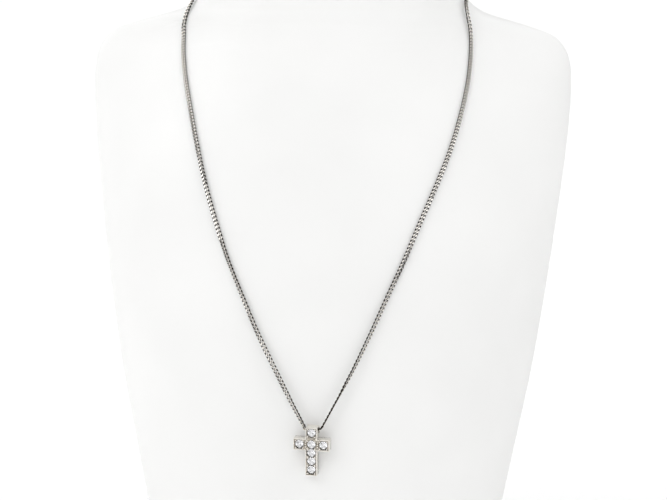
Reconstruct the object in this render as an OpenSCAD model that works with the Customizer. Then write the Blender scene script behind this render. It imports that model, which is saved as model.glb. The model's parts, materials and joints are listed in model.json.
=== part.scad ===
/* [Bust] */
// Height of the neck bust
bust_h = 248; // [220:1:280]
// Width of the bust across its shoulders
bust_w = 172; // [150:1:195]
// Depth of the chest in front of the middle of the neck
chest_d = 74.5; // [66:0.5:84]
// Depth of the back behind the middle of the neck
back_d = 36.75; // [32:0.25:42]
// Width of the neck
neck_w = 80; // [74:1:86]
// Depth of the neck from front to back
neck_d = 70; // [64:1:76]
// Radius of the rounded rims of the base and of the neck top
rim_r = 1.6; // [0.8:0.1:3]

/* [Chain] */
// Thickness of the chain as a round tube
chain_d = 1.5; // [1.2:0.05:1.7]
// Gap between the chain and the bust where it lies on it
lay_gap = 0.2; // [0.1:0.05:0.5]
// Height of the chain where it passes through the bail
bail_z = 57.7; // [45:0.1:75]
// Distance of the bail from the middle of the bust, towards the right in front view
bail_x = 0.55; // [-1:0.05:1]
// Distance from the chest to the middle of the chain in the bail
stand_off = 3.1; // [2.8:0.1:4.5]
// Radius of the chain's bend at each side of the bail
bend_r = 1.3; // [1.2:0.1:2.5]
// Distance inside each mouth of the bail's tunnel at which the chain begins to bend
mouth_in = 0.1; // [0:0.05:0.15]
// Slope of the chain's two runs as they leave the bail
rise_angle = 62; // [50:1:70]

/* [Clasp] */
// Length of the clasp between the two ends of the chain
clasp_l = 9.4; // [8:0.1:12]
// Width of the clasp's rounded body
clasp_w = 4.2; // [3.4:0.1:5]
// Thickness of the clasp
clasp_t = 1.6; // [1.2:0.1:2.2]
// Diameter of the opening in the clasp
clasp_eye_d = 1.9; // [1.4:0.1:2.2]
// Width of the clasp's narrow end
clasp_tip_w = 2; // [1.6:0.1:2.4]
// Gap between the clasp and each end of the chain
clasp_gap = 0.12; // [0.05:0.01:0.3]

/* [Cross] */
// Width of the cross across its two arms
cross_w = 12.4; // [11.6:0.1:13]
// Reach of the top arm above the middle of the cross
top_reach = 5.95; // [5.6:0.05:6.4]
// Reach of the stem below the middle of the cross
stem_reach = 10.9; // [10.5:0.1:12]
// Width of the arms and of the stem
arm_w = 3.95; // [3.75:0.05:4.1]
// Depth of the cross from its front rails to its back
arm_d = 3.4; // [3.1:0.1:3.8]
// Forward lean of the hanging cross
cross_lean = 9; // [4:0.5:10]
// Turn of the hanging cross to its right, about the vertical
cross_turn = 8; // [0:1:8]
// Tilt of the hanging cross towards its right arm, as seen from the front
cross_tilt = 1.5; // [0:0.5:2]

/* [Stones] */
// Girdle diameter of each round brilliant
stone_d = 2.8; // [2.4:0.05:2.8]
// Distance from the middle stone to the stones of the arms
arm_pitch = 4.15; // [3.95:0.05:4.2]
// Distance between the stones down the stem
stem_pitch = 2.95; // [2.93:0.01:3.05]
// Height of the crown as a share of the girdle diameter
crown_share = 0.15; // [0.12:0.01:0.17]
// Depth of the pavilion as a share of the girdle diameter
pavilion_share = 0.42; // [0.38:0.01:0.43]
// Width of the table as a share of the girdle diameter
table_share = 0.57; // [0.5:0.01:0.64]
// Thickness of the girdle
girdle_t = 0.06; // [0.04:0.01:0.1]

/* [Setting] */
// Width of the thin rails round the front
rail_w = 0.2; // [0.16:0.02:0.24]
// Height of the rails above the plate that holds the stones
rail_h = 0.35; // [0.25:0.05:0.45]
// Clearance between each stone and its seat
seat_gap = 0.05; // [0.03:0.01:0.08]
// Diameter of the light hole behind each stone
light_hole_d = 1.3; // [1:0.1:1.6]
// Diameter of the small beads that grip the stones
bead_d = 0.66; // [0.5:0.02:0.68]
// Clearance between each bead and the girdle of its stone
bead_gap = 0.08; // [0.06:0.01:0.1]
// Height of the beads above the plate
bead_h = 0.5; // [0.4:0.05:0.6]

/* [Bail] */
// Clearance round the chain in the tunnel that it passes through
bail_clearance = 0.45; // [0.4:0.05:0.5]
// Wall of the tunnel at the top and the back
bail_wall = 0.5; // [0.4:0.05:0.7]
// Depth of the tunnel's middle behind the front rails
bail_depth = 3; // [2.9:0.05:3.3]
// Height of the tunnel's round top above the flat top of the upper arm
bail_rise = 0.3; // [0:0.05:0.5]
// Height of the chain above the middle of the tunnel that hangs on it
bail_slack = 0.2; // [0.1:0.05:0.2]

/* [Hidden] */

// Points round each section of the bust, and sides of the chain's tube
section_points = 56;
tube_sides = 8;
// Longest step between two rings of the chain's tube
ring_step = 5.5;
// Small overlap where one shape is joined to another or cut out of it
eps = 0.02;
// Depth of each bead's root in the plate, and its top's width as a share of its foot's
bead_root = 0.2;
bead_top = 0.65;

// Sections of the bust from the base to the top of the neck. Lengths are shares: of the height, of
// the width, of the chest's and of the back's depth. Where neck is above 0 they follow the neck's
// width and depth in that part. Wing is the thickness of the shoulder as a share of the front's
// depth there, column the half width of the neck's root as a share of half the bust's width.
// Columns: height, neck, width, front, back, wing, column, roundness, rings up to the next row
SECTIONS = [
    [0,     0,    0.712, 0.921, 0.88,  1,     0.68,  2.4,  2],
    [0.055, 0,    0.729, 0.954, 0.907, 1,     0.68,  2.4,  4],
    [0.158, 0,    0.786, 0.993, 0.96,  1,     0.68,  2.4,  4],
    [0.277, 0,    0.855, 1,     0.987, 1,     0.68,  2.4,  4],
    [0.395, 0,    0.909, 0.976, 1,     1,     0.68,  2.4,  3],
    [0.474, 0,    0.94,  0.941, 0.987, 1,     0.66,  2.3,  3],
    [0.553, 0,    0.969, 0.868, 0.96,  0.985, 0.64,  2.2,  3],
    [0.613, 0,    0.988, 0.783, 0.933, 0.95,  0.615, 2.1,  3],
    [0.664, 0,    1,     0.671, 0.907, 0.873, 0.58,  2.05, 3],
    [0.703, 0,    1.003, 0.572, 0.88,  0.759, 0.55,  2,    3],
    [0.735, 0.15, 1.08,  0.55,  0.86,  0.56,  0.524, 2,    3],
    [0.755, 0.3,  1.151, 0.566, 0.845, 0.39,  0.507, 2,    3],
    [0.771, 0.45, 1.205, 0.605, 0.845, 0.29,  0.496, 2,    4],
    [0.786, 0.6,  1.158, 0.666, 0.85,  0.29,  0.49,  2,    4],
    [0.802, 0.8,  1.105, 0.784, 0.868, 0.437, 0.484, 2,    4],
    [0.822, 0.95, 1.135, 0.909, 0.888, 0.7,   0.479, 2,    4],
    [0.85,  1,    1.115, 0.969, 0.916, 0.954, 0.479, 2,    4],
    [0.909, 1,    1.029, 0.983, 0.958, 1,     0.479, 2.1,  3],
    [1,     1,    1,     1,     1,     1,     0.479, 2.1,  1]];
HEIGHT = 0;
NECK = 1;
WIDTH = 2;
FRONT = 3;
BACK = 4;
WING = 5;
COLUMN = 6;
ROUND = 7;
RINGS = 8;

// Route of the chain, from the bail up each side and round the neck to the clasp. Each row gives the
// angle from the front at which the left run lies on the bust, the same for the right run, the share
// of the height, and how far the left run and the right run are lifted off the bust there. An angle
// of 90 is at the side.
CHAIN_RUN = [
    [2.95, 3.4, 0.262, 1.8, 1.8], [6.6, 7.05, 0.31, 1.2, 1.2], [10.6, 10.6, 0.36, 0.6, 0.6],
    [14.4, 14.2, 0.41, 0.2, 0.2], [18.65, 18.4, 0.46, 0, 0], [22.3, 22.25, 0.51, 0, 0],
    [25.7, 26.35, 0.56, 0, 0], [29, 30.35, 0.61, 0, 0], [32, 33.1, 0.66, 0, 0],
    [35.2, 35.2, 0.706, 0, 0], [37.5, 36.2, 0.742, 0, 0.1], [39.4, 37.4, 0.76, 0, 0.3],
    [45.1, 41.6, 0.778, 0.15, 0.6], [61, 54.8, 0.796, 0.3, 0.85], [78, 68.8, 0.812, 0.35, 0.75],
    [96, 86.5, 0.826, 0.3, 0.45], [118, 112, 0.836, 0.1, 0.2], [140, 138, 0.842, 0.05, 0.05],
    [160, 160, 0.844, 0, 0]];
// Share of the height at which the clasp lies behind the neck
clasp_level = 0.845;

// Smooth curve through one column of the table at any share of the height
function slope_at(i, c) =
    let (a = SECTIONS[max(i - 1, 0)], b = SECTIONS[min(i + 1, len(SECTIONS) - 1)])
    (b[c] - a[c]) / (b[HEIGHT] - a[HEIGHT]);
function row_below(h, i = 0) =
    i >= len(SECTIONS) - 2 || h < SECTIONS[i + 1][HEIGHT] ? i : row_below(h, i + 1);
function along(h, c) =
    let (i = row_below(h), a = SECTIONS[i], b = SECTIONS[i + 1], d = b[HEIGHT] - a[HEIGHT])
    let (t = min(max((h - a[HEIGHT]) / d, 0), 1))
    (2 * t ^ 3 - 3 * t ^ 2 + 1) * a[c] + (t ^ 3 - 2 * t ^ 2 + t) * d * slope_at(i, c)
    + (3 * t ^ 2 - 2 * t ^ 3) * b[c] + (t ^ 3 - t ^ 2) * d * slope_at(i + 1, c);
function mixed(h, body, neck) = let (k = along(h, NECK)) (1 - k) * body + k * neck;

// Half width and depths of the section at a share of the height
function half_width(h) = along(h, WIDTH) * mixed(h, bust_w, neck_w) / 2;
function front_depth(h) = along(h, FRONT) * mixed(h, chest_d, neck_d / 2);
function back_depth(h) = along(h, BACK) * mixed(h, back_d, neck_d / 2);

// Point of the bust at an angle round it, 0 in front and 90 at the side of +X, and its outward normal
function bust_point(angle, h) =
    let (w = half_width(h), p = 2 / along(h, ROUND), s = sin(angle), c = cos(angle))
    let (x = w * sign(s) * abs(s) ^ p, full = c >= 0 ? front_depth(h) : back_depth(h))
    let (wing = min(full, along(h, WING) * front_depth(h)))
    let (bulge = 1 / (1 + abs(x / (along(h, COLUMN) * bust_w / 2)) ^ 6))
    [x, -(wing + (full - wing) * bulge) * sign(c) * abs(c) ^ p, h * bust_h];
function unit(v) = v / norm(v);
function bust_normal(angle, h) =
    unit(cross(bust_point(angle + 0.5, h) - bust_point(angle - 0.5, h),
               bust_point(angle, h + 0.001) - bust_point(angle, h - 0.001)));

// Closed skin through a list of rings that all have the same number of points
function ring_faces(rings, n) = [
    for (i = [0 : rings - 2], j = [0 : n - 1])
        let (a = i * n + j, b = i * n + (j + 1) % n)
        each [[a, b, b + n], [a, b + n, a + n]]];
function cap_faces(rings, n) = [
    [for (j = [n - 1 : -1 : 0]) j],
    [for (j = [0 : n - 1]) (rings - 1) * n + j]];
module skin(rings) {
    n = len(rings[0]);
    polyhedron(
        points = [for (r = rings) each r],
        faces = [for (f = concat(ring_faces(len(rings), n), cap_faces(len(rings), n)))
                 [for (k = [len(f) - 1 : -1 : 0]) f[k]]]);
}

// Neck bust: rings up the sections, drawn in at the two rounded rims
levels = [for (i = [0 : len(SECTIONS) - 2], k = [0 : SECTIONS[i][RINGS] - 1])
    SECTIONS[i][HEIGHT] + (SECTIONS[i + 1][HEIGHT] - SECTIONS[i][HEIGHT]) * k / SECTIONS[i][RINGS]];
function inner_levels() = [for (h = levels) if (h * bust_h > rim_r && h < 1 - rim_r / bust_h) h];
function section_ring(h, inset) = [
    for (j = [0 : section_points - 1])
        let (p = bust_point(360 * j / section_points, h), k = 1 - inset / half_width(h))
        [p.x * k, p.y * k, p.z]];
module neck_bust() {
    foot = [for (a = [0, 30, 60, 90]) section_ring(rim_r * (1 - cos(a)) / bust_h, rim_r * (1 - sin(a)))];
    top = [for (a = [90, 60, 30, 0])
        section_ring(1 - rim_r * (1 - cos(a)) / bust_h, rim_r * (1 - sin(a)))];
    color("white") in_frame() skin(concat(foot, [for (h = inner_levels()) section_ring(h, 0)], top));
}

// Place of the bail, and the front of the whole piece, where the cross's upper arm leans forward.
// Everything is drawn from the neck's axis and then moved so that y = 0 is midway front to back
bail_level = bail_z / bust_h;
bail_y = bust_point(0, bail_level).y - stand_off;
bore_r = chain_d / 2 + bail_clearance;
bore_z = top_reach + bail_rise - bail_wall - bore_r;
half_arm = arm_w / 2;
reach_y = bail_depth * cos(cross_lean) + (top_reach - bore_z - bail_slack) * sin(cross_lean);
front_y = bail_y - reach_y * cos(cross_turn) - half_arm * sin(cross_turn);
module in_frame() {
    translate([0, -(front_y + back_d) / 2, 0]) children();
}

// Chain: the route in space, then a tube swept along it
chain_r = chain_d / 2;
function on_bust(p, side) =
    let (angle = side * (side < 0 ? p[0] : p[1]))
    bust_point(angle, p[2]) + bust_normal(angle, p[2]) * (chain_r + lay_gap + (side < 0 ? p[3] : p[4]));
straight_half = half_arm - mouth_in;
function bail_run(side) = [
    [bail_x + side * straight_half, bail_y, bail_z],
    for (a = [rise_angle / 3, rise_angle * 2 / 3, rise_angle])
        [bail_x + side * (straight_half + bend_r * sin(a)), bail_y, bail_z + bend_r * (1 - cos(a))]];
clasp_normal = bust_normal(180, clasp_level);
clasp_tilt = asin(clasp_normal.z);
clasp_y = bust_point(180, clasp_level).y + clasp_t / 2 + 2 * lay_gap;
function clasp_end(side) = [side * (clasp_l / 2 + clasp_gap), clasp_y, clasp_level * bust_h];
function run(side) = concat(bail_run(side), [for (p = CHAIN_RUN) on_bust(p, side)], [clasp_end(side)]);
function reversed(list) = [for (i = [len(list) - 1 : -1 : 0]) list[i]];
route = concat(reversed(run(-1)), run(1));

// Smooth curve through the route, with no two rings further apart than the step
function curve_point(a, b, c, d, t) =
    (2 * b + (c - a) * t + (2 * a - 5 * b + 4 * c - d) * t ^ 2 + (3 * b - a - 3 * c + d) * t ^ 3) / 2;
function spans(i) = max(1, round(norm(route[i + 1] - route[i]) / ring_step));
path = [
    for (i = [0 : len(route) - 2], k = [0 : spans(i) - 1])
        let (a = i == 0 ? 2 * route[0] - route[1] : route[i - 1])
        let (d = i == len(route) - 2 ? 2 * route[i + 1] - route[i] : route[i + 2])
        curve_point(a, route[i], route[i + 1], d, k / spans(i)),
    route[len(route) - 1]];
function heading(i) = unit(path[min(i + 1, len(path) - 1)] - path[max(i - 1, 0)]);
function tube_ring(i) =
    let (t = heading(i), out = unit([path[i].x, path[i].y, 0] + [0, -0.01, 0]))
    let (u = unit(cross(t, out)), v = cross(t, u))
    [for (j = [0 : tube_sides - 1])
        let (a = 360 * (j + 0.5) / tube_sides)
        path[i] + chain_r * (cos(a) * u + sin(a) * v)];
module chain() {
    color("silver") in_frame() skin([for (i = [0 : len(path) - 1]) tube_ring(i)]);
}

// Clasp: one flat teardrop with an eye, lying behind the neck
module clasp_outline() {
    round_r = clasp_w / 2;
    tip_r = clasp_tip_w / 2;
    difference() {
        hull() {
            translate([round_r - clasp_l / 2, 0]) circle(r = round_r, $fn = 48);
            translate([clasp_l / 2 - tip_r, 0]) circle(r = tip_r, $fn = 32);
        }
        translate([round_r - clasp_l / 2, 0]) circle(d = clasp_eye_d, $fn = 32);
    }
}
module clasp() {
    color("silver") in_frame()
        translate([0, clasp_y, clasp_level * bust_h])
        rotate([clasp_tilt - 90, 0, 0])
        linear_extrude(clasp_t, center = true)
        clasp_outline();
}

// Cross: drawn flat in x and z with its middle at the origin and its front rails at y = 0, then hung
// so that the chain's middle lies in the tunnel
half_bar = cross_w / 2;
plate_y = rail_h;
module hang() {
    in_frame()
        translate([bail_x, bail_y, bail_z])
        rotate([cross_lean, 0, -cross_turn])
        rotate([0, cross_tilt, 0])
        translate([0, -bail_depth, -bore_z - bail_slack])
        children();
}
module slab(x0, x1, z0, z1, y0, y1) {
    translate([x0, y0, z0]) cube([x1 - x0, y1 - y0, z1 - z0]);
}
module cross_prism(inset, y0, y1) {
    slab(inset - half_arm, half_arm - inset, inset - stem_reach, top_reach - inset, y0, y1);
    slab(inset - half_bar, half_bar - inset, inset - half_arm, half_arm - inset, y0, y1);
}

// Places of the stones on the cross, in x and z
TOP = [0, arm_pitch];
LEFT = [-arm_pitch, 0];
CENTRE = [0, 0];
RIGHT = [arm_pitch, 0];
STEM = [for (k = [1 : 3]) [0, -k * stem_pitch]];
PLACES = concat([TOP, LEFT, CENTRE, RIGHT], STEM);
LIT_PLACES = concat([LEFT, CENTRE, RIGHT], STEM);

// Seat: a cylinder for the girdle above a cone for the pavilion
girdle_y = plate_y + girdle_t;
crown_h = crown_share * stone_d;
pavilion_h = pavilion_share * stone_d;
seat_r = stone_d / 2 + seat_gap;
seat_floor = girdle_y + girdle_t / 2 + pavilion_h + seat_gap;
module at_place(place) {
    translate([place.x, 0, place.y]) rotate([-90, 0, 0]) children();
}
module seat(place) {
    at_place(place) {
        translate([0, 0, plate_y - eps]) cylinder(r = seat_r, h = girdle_t * 1.5 + 2 * eps, $fn = 48);
        translate([0, 0, girdle_y + girdle_t / 2])
            cylinder(r1 = seat_r, r2 = 0.1, h = seat_floor - girdle_y - girdle_t / 2, $fn = 48);
    }
}
module light_hole(place) {
    at_place(place)
        translate([0, 0, (plate_y + seat_floor) / 2])
        cylinder(d = light_hole_d, h = arm_d, $fn = 32);
}

// Beads: four round each stone, raised from the plate beside its girdle
bead_reach = (stone_d / 2 + bead_gap + bead_d / 2) * sin(45);
module beads(place) {
    for (sx = [-1, 1], sz = [-1, 1])
        at_place(place + bead_reach * [sx, sz])
        translate([0, 0, plate_y - bead_h])
        cylinder(d1 = bead_d * bead_top, d2 = bead_d, h = bead_h + bead_root, $fn = 16);
}
module tunnel(r, half_length) {
    translate([0, bail_depth, bore_z])
        rotate([0, 90, 0])
        cylinder(r = r, h = 2 * half_length, center = true, $fn = 48);
}
module cross_setting() {
    color("gainsboro") hang() {
        difference() {
            union() {
                cross_prism(0, 0, arm_d);
                tunnel(bore_r + bail_wall, half_arm);
            }
            cross_prism(rail_w, -eps, plate_y);
            for (p = PLACES) seat(p);
            for (p = LIT_PLACES) light_hole(p);
            tunnel(bore_r, half_arm + 1);
        }
        for (p = PLACES) beads(p);
    }
}

// Round brilliant: table of eight sides, crown, girdle of sixteen sides and pavilion to a point
module brilliant(place) {
    table_r = table_share * stone_d / 2;
    star_r = (table_share + 1) * stone_d / 4;
    r = stone_d / 2;
    at_place(place)
        translate([0, 0, girdle_y])
        hull() {
            translate([0, 0, -crown_h]) cylinder(r = table_r, h = eps, $fn = 8);
            translate([0, 0, -crown_h * 0.6])
                rotate(22.5) cylinder(r = star_r, h = eps, $fn = 8);
            translate([0, 0, -girdle_t / 2]) cylinder(r = r, h = girdle_t, $fn = 16);
            translate([0, 0, girdle_t / 2]) cylinder(r1 = r * 0.98, r2 = 0.05, h = pavilion_h, $fn = 8);
        }
}
module stone(place) {
    color("azure") hang() brilliant(place);
}
module stone_top() { stone(TOP); }
module stone_left() { stone(LEFT); }
module stone_centre() { stone(CENTRE); }
module stone_right() { stone(RIGHT); }
module stone_stem_upper() { stone(STEM[0]); }
module stone_stem_middle() { stone(STEM[1]); }
module stone_stem_lower() { stone(STEM[2]); }

neck_bust();
chain();
clasp();
cross_setting();
stone_top();
stone_left();
stone_centre();
stone_right();
stone_stem_upper();
stone_stem_middle();
stone_stem_lower();
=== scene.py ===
import json
import math

import bmesh
import bpy
from mathutils import Matrix, Vector
from mathutils.bvhtree import BVHTree


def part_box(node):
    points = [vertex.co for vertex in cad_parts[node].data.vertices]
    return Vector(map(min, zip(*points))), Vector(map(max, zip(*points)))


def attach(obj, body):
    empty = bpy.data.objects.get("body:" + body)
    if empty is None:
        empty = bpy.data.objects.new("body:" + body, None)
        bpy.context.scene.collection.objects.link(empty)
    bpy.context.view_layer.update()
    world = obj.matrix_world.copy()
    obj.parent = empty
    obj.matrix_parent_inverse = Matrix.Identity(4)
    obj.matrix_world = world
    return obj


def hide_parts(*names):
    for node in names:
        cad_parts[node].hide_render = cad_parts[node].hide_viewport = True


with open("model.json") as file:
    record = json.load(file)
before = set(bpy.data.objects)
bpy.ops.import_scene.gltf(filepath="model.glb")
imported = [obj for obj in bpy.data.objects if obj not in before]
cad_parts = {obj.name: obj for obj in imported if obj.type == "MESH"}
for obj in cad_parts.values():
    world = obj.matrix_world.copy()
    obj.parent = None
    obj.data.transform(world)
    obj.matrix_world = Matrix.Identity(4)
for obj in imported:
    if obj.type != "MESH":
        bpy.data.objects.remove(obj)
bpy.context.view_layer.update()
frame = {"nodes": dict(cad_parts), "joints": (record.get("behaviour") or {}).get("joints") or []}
nodes = frame["nodes"]

# Camera ---------------------------------------------------------------------------------------
# A long lens a little above the pendant and a little to the right, with the camera rolled by under
# a degree. The frame is 667 by 500 and holds the chest from below the cross to the neck's foot.
# Lengths here and below are in metres, but for the sensor's in millimetres.
CAMERA_TARGET = Vector((0.00647, -0.05334, 0.1186))
CAMERA_DISTANCE = 1.029
CAMERA_AZIMUTH, CAMERA_ELEVATION, CAMERA_ROLL = (math.radians(a) for a in (3.9, 5.0, 0.8))
SENSOR_WIDTH = 36.0
FOCAL_PIXELS, FRAME_PIXELS = 3045.0, 667.0

camera_back = Vector((
    math.sin(CAMERA_AZIMUTH) * math.cos(CAMERA_ELEVATION),
    -math.cos(CAMERA_AZIMUTH) * math.cos(CAMERA_ELEVATION),
    math.sin(CAMERA_ELEVATION)))
level_right = Vector((math.cos(CAMERA_AZIMUTH), math.sin(CAMERA_AZIMUTH), 0))
level_up = camera_back.cross(level_right)
camera_right = level_right * math.cos(CAMERA_ROLL) + level_up * math.sin(CAMERA_ROLL)
camera_up = level_up * math.cos(CAMERA_ROLL) - level_right * math.sin(CAMERA_ROLL)
bpy.ops.object.camera_add()
camera = bpy.context.object
camera.name = "camera"
camera.matrix_world = Matrix.Translation(CAMERA_TARGET + camera_back * CAMERA_DISTANCE) @ Matrix(
    (camera_right, camera_up, camera_back)).transposed().to_4x4()
camera.data.sensor_width = SENSOR_WIDTH
camera.data.lens = FOCAL_PIXELS / FRAME_PIXELS * SENSOR_WIDTH
bpy.context.scene.camera = camera

# Floor ----------------------------------------------------------------------------------------
# A seamless sheet of white matt paper, so wide that it fills the picture behind the bust. It belongs
# to the stage and not to the object.
FLOOR_WIDTH = 120.0


def linear(code):
    """A linear colour from an sRGB hex value."""
    parts = [int(code[i:i + 2], 16) / 255 for i in (1, 3, 5)]
    return (*[c / 12.92 if c <= 0.04045 else ((c + 0.055) / 1.055) ** 2.4 for c in parts], 1.0)


def add_node(tree, kind, inputs=(), **settings):
    """A shader node with its settings, and its inputs set to values or linked to sockets."""
    made = tree.nodes.new(kind)
    for key, value in settings.items():
        setattr(made, key, value)
    for key, value in dict(inputs).items():
        socket = made.inputs[key]
        if kind == "ShaderNodeMix" and settings.get("data_type") == "RGBA":
            socket = [i for i in made.inputs if i.name == key and i.enabled][0]
        if isinstance(value, bpy.types.NodeSocket):
            tree.links.new(value, socket)
        else:
            socket.default_value = value
    return made


def new_material(name):
    """An empty node material with its shader tree."""
    material = bpy.data.materials.new(name)
    material.use_nodes = True
    material.node_tree.nodes.clear()
    return material, material.node_tree


# White matt paper: it only scatters the light.
paper, tree = new_material("white_matt_paper")
paper_shader = add_node(tree, "ShaderNodeBsdfDiffuse", {
    "Color": linear("#fbfbfb"), "Roughness": 0.0})
add_node(tree, "ShaderNodeOutputMaterial", {"Surface": paper_shader.outputs["BSDF"]})

bpy.ops.mesh.primitive_plane_add(size=FLOOR_WIDTH)
floor = bpy.context.object
floor.name = "floor"
floor.data.materials.append(paper)

# Bust -----------------------------------------------------------------------------------------
# A neck bust with no head: a hard shell under a tight cover of white leatherette, smooth to the eye
# and with a fine grain. It stands on its flat underside and carries the chain.
GRAIN_SIZE, GRAIN_DEPTH = 0.00045, 0.00004
STRETCH_PATCHES_PER_METRE = 18.0
QUAD_ANGLE = math.radians(60)
MERGE_DISTANCE = 1e-6


def deselect_all():
    """Leaves edit mode with nothing selected."""
    if bpy.context.object and bpy.context.object.mode != "OBJECT":
        bpy.ops.object.mode_set(mode="OBJECT")
    bpy.ops.object.select_all(action="DESELECT")


def activate(piece):
    """Makes one piece the only selected one and the one that operators work on."""
    deselect_all()
    piece.select_set(True)
    bpy.context.view_layer.objects.active = piece


def apply_modifier(piece, kind, **settings):
    """Adds a modifier with its settings and makes its shape the piece's own."""
    activate(piece)
    added = piece.modifiers.new(kind.lower(), kind)
    for key, value in settings.items():
        setattr(added, key, value)
    bpy.ops.object.modifier_apply(modifier=added.name)


def merged_copy(node, name):
    """A copy of a CAD node whose loose triangles are joined at their shared corners."""
    piece = bpy.data.objects.new(name, nodes[node].data.copy())
    bpy.context.scene.collection.objects.link(piece)
    piece.data.materials.clear()
    apply_modifier(piece, "WELD", merge_threshold=MERGE_DISTANCE)
    return piece


# White leatherette (polyurethane skin on a knit): soft sheen, a grain that only shows close by and
# a faint unevenness where the cover is stretched.
leatherette, tree = new_material("white_leatherette")
place = add_node(tree, "ShaderNodeTexCoord").outputs["Object"]
grain = add_node(tree, "ShaderNodeTexVoronoi", {
    "Vector": place, "Scale": 1 / GRAIN_SIZE, "Randomness": 1.0}, feature="DISTANCE_TO_EDGE")
fine = add_node(tree, "ShaderNodeTexNoise", {
    "Vector": place, "Scale": 0.5 / GRAIN_SIZE, "Detail": 3.0})
broad = add_node(tree, "ShaderNodeTexNoise", {
    "Vector": place, "Scale": STRETCH_PATCHES_PER_METRE, "Detail": 2.0})
height = add_node(tree, "ShaderNodeMath", {0: grain.outputs["Distance"], 1: fine.outputs["Fac"]},
                  operation="MULTIPLY")
bump = add_node(tree, "ShaderNodeBump", {
    "Height": height.outputs[0], "Strength": 0.35, "Distance": GRAIN_DEPTH})
tint = add_node(tree, "ShaderNodeValToRGB", {"Fac": broad.outputs["Fac"]})
tint.color_ramp.elements[0].color = linear("#ebebea")
tint.color_ramp.elements[0].position = 0.3
tint.color_ramp.elements[1].color = linear("#f0f0ef")
tint.color_ramp.elements[1].position = 0.7
sheen = add_node(tree, "ShaderNodeMapRange", {
    "Value": fine.outputs["Fac"], "To Min": 0.5, "To Max": 0.64})
skin = add_node(tree, "ShaderNodeBsdfPrincipled", {
    "Base Color": tint.outputs["Color"], "Roughness": sheen.outputs["Result"], "IOR": 1.46,
    "Specular IOR Level": 0.3, "Normal": bump.outputs["Normal"]})
add_node(tree, "ShaderNodeOutputMaterial", {"Surface": skin.outputs["BSDF"]})

# The cover is the shell's own surface, made of quads again and smoothed once.
bust = merged_copy("neck_bust", "bust_cover")
bpy.ops.object.mode_set(mode="EDIT")
bpy.ops.mesh.select_all(action="SELECT")
bpy.ops.mesh.tris_convert_to_quads(face_threshold=QUAD_ANGLE, shape_threshold=QUAD_ANGLE)
bpy.ops.object.mode_set(mode="OBJECT")
apply_modifier(bust, "SUBSURF", levels=1, render_levels=1)
bpy.ops.object.shade_smooth()
bust.data.materials.append(leatherette)
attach(bust, "display")
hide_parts("neck_bust")

# Chain ----------------------------------------------------------------------------------------
# A curb chain in rhodium plated white gold: each link is an oval of round wire, twisted so that
# neighbours lie flat in each other, with flat facets cut on its faces. It lies on the chest, passes
# through the cross's tunnel and closes behind the neck.
LINK_LENGTH, LINK_WIDTH, LINK_WIRE = 0.0024, 0.0017, 0.00052
LINK_PITCH = 0.0014
LINK_TWIST = math.radians(108)
# A point on a facet, from the link's middle along, across and up, and the facet's lean towards the
# link's end and side, as slopes.
FACET_PLACE, FACET_LEAN = (0.0006, 0.0, 0.0004), (0.28, 0.12)
# Painted shade with some oxide: a link's colour is painted dark where it stands less than this far
# above the link's middle, where the polishing wheel doesn't reach, and is full dark a fade lower.
SHADE_PAINT_HEIGHT, SHADE_PAINT_FADE = 0.00032, 0.00008
# A link within this gap of the bust sinks to it by the second length, and less up to twice the gap.
LAID_GAP, SINK = 0.0012, 0.00035
# Near the bail the links keep a hair further back and lower, clear of its front rim.
BAIL_REACH, BAIL_SHIFT = 0.004, Vector((0, 0.00005, -0.0001))
# Roll of the chain about its own line, in degrees, by the distance in mm from the middle of the
# bail, left run first: it lies flat on the chest, slants where it turns over, and stands on edge
# where it leaves the bail on the right.
ROLL = ((-76, 0), (-70, 26), (-60, 30), (-48, 18), (-35, 0), (-22, 0), (-12, 28), (-3, 50),
        (3, 82), (8, 88), (15, 85), (24, 52), (40, 34), (55, 20), (68, 0))
# The fine scratches of wear are drawn far coarser than real ones, or they wouldn't show at all.
SCUFF_SIZE = 0.0004

# White gold (a nickel and gold alloy under rhodium plate), polished: a clear, slightly warm mirror,
# with its colour painted dark where the attribute marks a sunk part: painted shade, with some oxide.
white_gold, tree = new_material("white_gold_polished")
place = add_node(tree, "ShaderNodeTexCoord").outputs["Object"]
scuffs = add_node(tree, "ShaderNodeTexNoise", {
    "Vector": place, "Scale": 1 / SCUFF_SIZE, "Detail": 2.0})
polish = add_node(tree, "ShaderNodeMapRange", {
    "Value": scuffs.outputs["Fac"], "To Min": 0.08, "To Max": 0.18})
# The attribute is a painted shade mask with a little oxide: it turns the metal's colour nearly black
# in the chain's gaps and in the cross's seats and corners.
sunk = add_node(tree, "ShaderNodeAttribute", attribute_name="painted_shade_and_oxide")
shade_and_oxide_colour = add_node(tree, "ShaderNodeMix", {
    "Factor": sunk.outputs["Fac"], "A": linear("#e8e4dd"), "B": linear("#241b15")}, data_type="RGBA")
metal = add_node(tree, "ShaderNodeBsdfPrincipled", {
    "Base Color": [o for o in shade_and_oxide_colour.outputs if o.enabled][0], "Metallic": 1.0,
    "Roughness": polish.outputs["Result"]})
add_node(tree, "ShaderNodeOutputMaterial", {"Surface": metal.outputs["BSDF"]})


def tube_centres(node, start, sides=8):
    """The middle of each ring of a swept tube, walked from the ring nearest to a point."""
    tube = merged_copy(node, "tube_walk")
    mesh = bmesh.new()
    mesh.from_mesh(tube.data)
    bpy.data.objects.remove(tube)
    ring = sorted(mesh.verts, key=lambda v: (v.co - start).length)[:sides]
    seen, centres = set(ring), []
    while ring:
        centres.append(sum((v.co for v in ring), Vector()) / len(ring))
        ring = sorted({e.other_vert(v) for v in ring for e in v.link_edges} - seen,
                      key=lambda v: v.index)
        seen.update(ring)
    mesh.free()
    return centres


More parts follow.
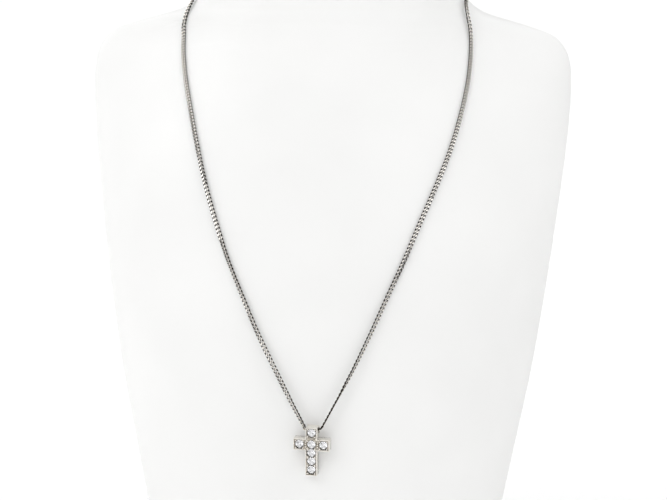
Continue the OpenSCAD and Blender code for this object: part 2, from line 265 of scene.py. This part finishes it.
def smooth_line(points, step, parts=20):
    """Points evenly spaced along a smooth curve through the given points, and their true spacing."""
    fine_line = []
    for i in range(len(points) - 1):
        a, b = points[max(i - 1, 0)], points[i]
        c, d = points[i + 1], points[min(i + 2, len(points) - 1)]
        for k in range(parts):
            t = k / parts
            fine_line.append(0.5 * (2 * b + (c - a) * t + (2 * a - 5 * b + 4 * c - d) * t ** 2
                                    + (3 * b - a - 3 * c + d) * t ** 3))
    fine_line.append(points[-1])
    along = [0.0]
    for p, q in zip(fine_line, fine_line[1:]):
        along.append(along[-1] + (q - p).length)
    count = round(along[-1] / step)
    line, i = [], 0
    for k in range(count + 1):
        s = along[-1] * k / count
        while i < len(along) - 2 and along[i + 1] < s:
            i += 1
        t = (s - along[i]) / (along[i + 1] - along[i])
        line.append(fine_line[i].lerp(fine_line[i + 1], t))
    return line, along[-1] / count


clasp_low, clasp_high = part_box("clasp")
clasp_middle = (clasp_low + clasp_high) / 2
chain_start = Vector((clasp_low.x, clasp_middle.y, clasp_middle.z))
route, pitch = smooth_line(tube_centres("chain", chain_start), LINK_PITCH)

# One link: an oval ring of wire, twisted a little over a quarter turn from end to end. Two flat
# facets are cut on each face, one on each side of the chain's line, and they fall away outwards.
# The ring has sixteen sides and its wire six, because there are hundreds of links.
deselect_all()
bpy.ops.curve.primitive_bezier_circle_add(radius=1.0)
link = bpy.context.object
link.name = "curb_link"
bpy.ops.object.mode_set(mode="EDIT")
bpy.ops.curve.select_all(action="SELECT")
bpy.ops.transform.resize(value=((LINK_LENGTH - LINK_WIRE) / 2, (LINK_WIDTH - LINK_WIRE) / 2, 1.0))
bpy.ops.object.mode_set(mode="OBJECT")
link.data.resolution_u = 4
link.data.bevel_depth = LINK_WIRE / 2
link.data.bevel_resolution = 1
bpy.ops.object.convert(target="MESH")
apply_modifier(link, "SIMPLE_DEFORM", deform_method="TWIST", deform_axis="X", angle=LINK_TWIST)
bpy.ops.object.shade_smooth()
bpy.ops.object.mode_set(mode="EDIT")
for side, end in ((1, 1), (1, -1), (-1, 1), (-1, -1)):
    bpy.ops.mesh.select_all(action="SELECT")
    turned = Vector((end, end * side, side))
    bpy.ops.mesh.bisect(plane_co=Vector(FACET_PLACE) * turned,
                        plane_no=Vector((*FACET_LEAN, 1.0)) * turned, use_fill=True, clear_outer=True)
    bpy.ops.mesh.region_to_loop()
    bpy.ops.mesh.mark_sharp()
bpy.ops.object.mode_set(mode="OBJECT")
# The sunk parts between the links get painted shade, with some oxide where the wheel doesn't reach.
painted_shade_and_oxide = link.data.attributes.new("painted_shade_and_oxide", "FLOAT", "POINT")
for i, vertex in enumerate(link.data.vertices):
    painted_shade_and_oxide.data[i].value = min(max((SHADE_PAINT_HEIGHT - abs(vertex.co.z)) / SHADE_PAINT_FADE, 0), 1)


def roll_at(distance):
    """The chain's roll at a distance from the bail, eased between the rows of its table."""
    for (a, at_a), (b, at_b) in zip(ROLL, ROLL[1:]):
        if a <= distance < b:
            t = (distance - a) / (b - a)
            return math.radians(at_a + (at_b - at_a) * t * t * (3 - 2 * t))
    return 0.0


# The links are set along the route, face outwards from the bust and close to it where it lies.
pivot = Vector(frame["joints"][0]["pos_m"])
bail_link = min(range(len(route)), key=lambda i: (route[i] - pivot).length)
bust_surface = BVHTree.FromObject(bust, bpy.context.evaluated_depsgraph_get())
links = []
for i in range(len(route) - 1):
    middle = (route[i] + route[i + 1]) / 2
    forward = (route[i + 1] - route[i]).normalized()
    _, outward, _, gap = bust_surface.find_nearest(middle)
    middle = middle - outward * SINK * min(max((2 * LAID_GAP - gap) / LAID_GAP, 0), 1)
    middle = middle + BAIL_SHIFT * max(1 - (middle - pivot).length / BAIL_REACH, 0)
    across = outward.cross(forward).normalized()
    roll = Matrix.Rotation(roll_at((i + 0.5 - bail_link) * pitch * 1000), 3, forward)
    across, face = roll @ across, roll @ forward.cross(across)
    placed = bpy.data.objects.new(f"curb_link_{i:03d}", link.data.copy())
    placed.data.transform(Matrix.Translation(middle)
                          @ Matrix((forward, across, face)).transposed().to_4x4())
    bpy.context.scene.collection.objects.link(placed)
    links.append(placed)
bpy.data.objects.remove(link)
deselect_all()
for placed in links:
    placed.select_set(True)
chain = links[0]
bpy.context.view_layer.objects.active = chain
bpy.ops.object.join()
chain.name = "curb_chain"
chain.data.materials.clear()
chain.data.materials.append(white_gold)
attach(chain, "display")
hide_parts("chain")

# Clasp ----------------------------------------------------------------------------------------
# Hidden behind the neck: one plain flat teardrop with an eye, cast in white gold and polished. Its
# two ends hold the chain's last links.
nodes["clasp"].data.materials.clear()
nodes["clasp"].data.materials.append(white_gold)

# Cross ----------------------------------------------------------------------------------------
# Soldered white gold: a plate with raised rails, a seat and a light hole for each stone, and a
# tunnel through the upper arm that the chain runs in. Grains raised from the plate fill its bare
# places between the arms' stones and the middle one.
EDGE_ROUNDING, EDGE_ANGLE, SMOOTH_ANGLE = 0.00004, math.radians(40), math.radians(35)
GRAIN_RADIUS = 0.0003
GRAIN_PLACES = [(x, z) for x in (-0.00208, 0.00208) for z in (-0.00085, 0, 0.00085)]
PLATE_DEPTH, PLATE_MARGIN, PLATE_FACING = 0.00035, 0.00003, -0.9
SEAT_DEPTH, SEAT_RADIUS = 0.0017, 0.00145
ARM_STONE, STEM_STONES = 0.00415, (-0.00295, -0.0059, -0.00885)
# Painted shade: the width of the dark strip in the corner round the sunk plate, and how dark the
# plate is painted.
CORNER_SHADE_WIDTH, PLATE_SHADE_PAINT = 0.00008, 0.03
# How the cross hangs: it leans forward, is turned and tilted a little, and its tunnel, this far
# behind and above the middle stone, hangs on the chain with some slack.
LEAN, TURN, TILT = math.radians(9), math.radians(8), math.radians(1.5)
BORE_DEPTH, BORE_HEIGHT, SLACK = 0.003, 0.00455, 0.0002
hung = (Matrix.Translation(pivot) @ Matrix.Rotation(-TURN, 4, "Z") @ Matrix.Rotation(LEAN, 4, "X")
        @ Matrix.Rotation(TILT, 4, "Y")
        @ Matrix.Translation((0, -BORE_DEPTH, -BORE_HEIGHT - SLACK)))
flat = hung.inverted()
stone_places = [(0, ARM_STONE), (-ARM_STONE, 0), (0, 0), (ARM_STONE, 0),
                *((0, z) for z in STEM_STONES)]
grains = []
for x, z in GRAIN_PLACES:
    bpy.ops.mesh.primitive_uv_sphere_add(segments=12, ring_count=8, radius=GRAIN_RADIUS)
    bpy.ops.object.shade_smooth()
    grains.append(bpy.context.object)
    grains[-1].data.transform(hung @ Matrix.Translation((x, PLATE_DEPTH, z)))
setting = merged_copy("cross_setting", "cross_body")
apply_modifier(setting, "BEVEL", width=EDGE_ROUNDING, segments=2, limit_method="ANGLE",
               angle_limit=EDGE_ANGLE)
bpy.ops.object.shade_smooth_by_angle(angle=SMOOTH_ANGLE)
for raised in grains:
    raised.select_set(True)
bpy.ops.object.join()


def on_plate(face):
    """Whether a face of the setting lies in the sunk plate."""
    return ((flat.to_3x3() @ face.normal).y < PLATE_FACING
            and abs((flat @ face.center).y - PLATE_DEPTH) < PLATE_MARGIN)


# The seats and the corner round the sunk plate are painted dark, painted shade with some oxide; the
# plate gets a little of it, and the beads, rails and outer walls are polished.
activate(setting)
bpy.ops.object.mode_set(mode="EDIT")
bpy.ops.mesh.select_mode(type="FACE")
bpy.ops.mesh.select_all(action="DESELECT")
bpy.ops.object.mode_set(mode="OBJECT")
for face in setting.data.polygons:
    face.select = on_plate(face)
bpy.ops.object.mode_set(mode="EDIT")
bpy.ops.mesh.inset(thickness=CORNER_SHADE_WIDTH, use_even_offset=True)
bpy.ops.object.mode_set(mode="OBJECT")
painted_shade_and_oxide = setting.data.attributes.new("painted_shade_and_oxide", "FLOAT", "FACE")
for i, face in enumerate(setting.data.polygons):
    centre = flat @ face.center
    seat = PLATE_DEPTH < centre.y < SEAT_DEPTH and any(
        math.hypot(centre.x - x, centre.z - z) < SEAT_RADIUS for x, z in stone_places)
    painted_shade_and_oxide.data[i].value = 1.0 if seat else 0.0
    if on_plate(face):
        painted_shade_and_oxide.data[i].value = PLATE_SHADE_PAINT if face.select else 1.0
setting.data.materials.append(white_gold)
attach(setting, "pendant")
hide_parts("cross_setting")

# Stones ---------------------------------------------------------------------------------------
# Seven round brilliants, cut and polished diamond, each held in its seat by grip beads. Each flat
# facet bends the light inside the stone.
diamond, tree = new_material("cut_diamond")
clear = add_node(tree, "ShaderNodeBsdfPrincipled", {
    "Base Color": linear("#fdfdff"), "Roughness": 0.0, "IOR": 2.417, "Transmission Weight": 1.0})
add_node(tree, "ShaderNodeOutputMaterial", {"Surface": clear.outputs["BSDF"]})
for name in nodes:
    if name.startswith("stone_"):
        nodes[name].data.materials.clear()
        nodes[name].data.materials.append(diamond)

# Light ----------------------------------------------------------------------------------------
# A white tent lit mostly from the upper left, with the dark of the room showing round the camera
# and black cards that draw dark lines in the polished metal.
LAMP_PLACE, LAMP_SIZE, LAMP_POWER = (-0.7, -0.9, 1.0), 0.6, 1.5
world = bpy.data.worlds.new("white_tent")
bpy.context.scene.world = world
world.use_nodes = True
tree = world.node_tree
tree.nodes.clear()
direction = add_node(tree, "ShaderNodeTexCoord").outputs["Generated"]


def nearness(aim):
    """How nearly a direction of the sky points to the aim, as a cosine."""
    return add_node(tree, "ShaderNodeVectorMath", {0: direction, 1: Vector(aim).normalized()},
                    operation="DOT_PRODUCT").outputs["Value"]


def eased(value, low, high, at_low, at_high):
    """A factor that eases between two levels as a value runs from low to high."""
    return add_node(tree, "ShaderNodeMapRange", {
        "Value": value, "From Min": low, "From Max": high, "To Min": at_low, "To Max": at_high},
        interpolation_type="SMOOTHSTEP").outputs["Result"]


def combined(a, b, operation):
    """Two factors of the sky made one by a plain operation."""
    return add_node(tree, "ShaderNodeMath", {0: a, 1: b}, operation=operation).outputs[0]


# The tent is brightest towards the upper left in front. The camera's opening, a hole in the roof,
# two small black cards on the left and the unlit side behind the bust are darker patches in it, and
# a white reflector on the right in front is a lighter one. Each row is a patch's direction, the
# nearness at which it starts and is full, and its level.
tent = eased(nearness((-0.39, -0.43, 0.81)), -1.0, 1.0, 0.268, 1.71)
for aim, low, high, level in (
        ((0.068, -0.994, 0.087), 0.955, 0.975, 0.06),
        ((-0.15, -0.25, 0.94), 0.88, 0.94, 0.1),
        ((-0.43, -0.88, 0.12), 0.957, 0.975, 0.1),
        ((-0.93, -0.3, 0.2), 0.955, 0.975, 0.1),
        ((0.12, 0.99, 0.06), 0.58, 0.93, 0.22),
        ((0.58, -0.73, 0.35), 0.75, 0.92, 1.25)):
    tent = combined(tent, eased(nearness(aim), low, high, 1.0, level), "MULTIPLY")
# One long black card stands on the right, from beside the camera up over the chest.
beside = add_node(tree, "ShaderNodeMath", {0: nearness((0.838, 0.25, -0.486))},
                  operation="ABSOLUTE").outputs[0]
card = combined(eased(beside, 0.12, 0.2, 0.08, 1.0),
                eased(nearness((0.42, -0.85, 0.3)), 0.82, 0.9, 1.0, 0.0), "MAXIMUM")
tent = combined(tent, card, "MULTIPLY")
sky = add_node(tree, "ShaderNodeBackground", {"Color": (1.0, 1.0, 1.0, 1.0), "Strength": tent})
add_node(tree, "ShaderNodeOutputWorld", {"Surface": sky.outputs["Background"]})

# A lamp above the camera's left gives the stones and the chain their small bright points.
bpy.ops.object.light_add(type="AREA", location=LAMP_PLACE)
lamp = bpy.context.object
lamp.name = "lamp"
lamp.data.size = LAMP_SIZE
lamp.data.energy = LAMP_POWER
lamp.rotation_euler = (lamp.location - CAMERA_TARGET).to_track_quat("Z", "Y").to_euler()

bpy.context.scene.view_settings.view_transform = "Standard"
